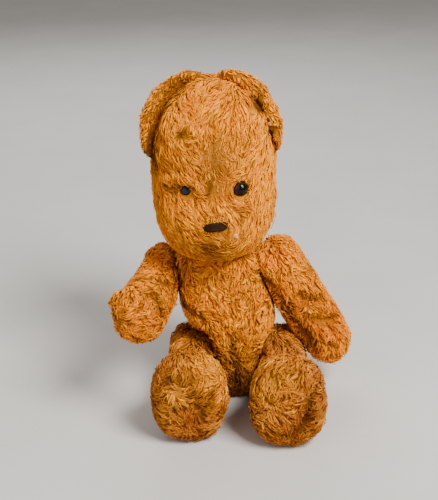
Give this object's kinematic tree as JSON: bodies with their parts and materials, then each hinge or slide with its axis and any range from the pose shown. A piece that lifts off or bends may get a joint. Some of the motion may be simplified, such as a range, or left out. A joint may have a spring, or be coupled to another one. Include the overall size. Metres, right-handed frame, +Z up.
{
  "type": "teddy bear",
  "caption": "Sitting disc-jointed bear in worn golden-orange mohair plush, with a turning head and swinging arms and legs.",
  "frame": {"origin": "middle of the flat that the bear sits on", "axes": "+Z up, the bear looks towards -Y, and its own left side is +X"},
  "size_m": [0.1771, 0.1646, 0.2523],
  "materials": {
    "mohair": "matted curly mohair pile, threadbare at the seams",
    "brown_mohair": "matted mohair pile, browner and dirtier",
    "wood_wool": "fine wood wool, packed firm",
    "hardboard": "raw hardboard",
    "steel": "dull and lightly rusted",
    "black_glass": "glossy",
    "clouded_glass": "scratched and cloudy",
    "felt": "worn felt"
  },
  "bodies": {
    "torso": {"body_cover": "mohair", "body_stuffing": "wood_wool", "neck_body_disc": "hardboard", "neck_body_washer": "steel", "neck_pin": "steel", "left_shoulder_body_disc": "hardboard", "left_shoulder_body_washer": "steel", "left_shoulder_pin": "steel", "right_shoulder_body_disc": "hardboard", "right_shoulder_body_washer": "steel", "right_shoulder_pin": "steel", "left_hip_body_disc": "hardboard", "left_hip_body_washer": "steel", "left_hip_pin": "steel", "right_hip_body_disc": "hardboard", "right_hip_body_washer": "steel", "right_hip_pin": "steel"},
    "head": {"head_cover": "mohair", "head_stuffing": "wood_wool", "left_ear": "mohair", "right_ear": "mohair", "left_eye": "black_glass", "right_eye": "clouded_glass", "left_eye_shank": "steel", "right_eye_shank": "steel", "nose": "felt", "neck_limb_disc": "hardboard", "neck_limb_washer": "steel"},
    "left_arm": {"left_arm_cover": "mohair", "left_arm_stuffing": "wood_wool", "left_shoulder_limb_disc": "hardboard", "left_shoulder_limb_washer": "steel"},
    "left_leg": {"left_leg_cover": "brown_mohair", "left_leg_stuffing": "wood_wool", "left_hip_limb_disc": "hardboard", "left_hip_limb_washer": "steel"},
    "right_arm": {"right_arm_cover": "mohair", "right_arm_stuffing": "wood_wool", "right_shoulder_limb_disc": "hardboard", "right_shoulder_limb_washer": "steel"},
    "right_leg": {"right_leg_cover": "brown_mohair", "right_leg_stuffing": "wood_wool", "right_hip_limb_disc": "hardboard", "right_hip_limb_washer": "steel"}
  },
  "joints": [
    {"name": "neck_swivel", "type": "hinge", "parent": "torso", "child": "head", "pos_m": [-0.016, 0.004, 0.121], "axis": [0, 0, 1], "continuous": true},
    {"name": "left_shoulder", "type": "hinge", "parent": "torso", "child": "left_arm", "pos_m": [0.018, 0, 0.0955], "axis": [0.9272, 0, 0.3746], "range_deg": [-90, 100]},
    {"name": "right_shoulder", "type": "hinge", "parent": "torso", "child": "right_arm", "pos_m": [-0.046, 0.004, 0.0915], "axis": [0.9998, -0.0175, 0], "range_deg": [-30, 195]},
    {"name": "left_hip", "type": "hinge", "parent": "torso", "child": "left_leg", "pos_m": [0.0168, -0.012, 0.0262], "axis": [1, 0, 0], "range_deg": [-18, 100]},
    {"name": "right_hip", "type": "hinge", "parent": "torso", "child": "right_leg", "pos_m": [-0.0168, -0.005, 0.0262], "axis": [1, 0, 0], "range_deg": [-18, 100]}
  ]
}
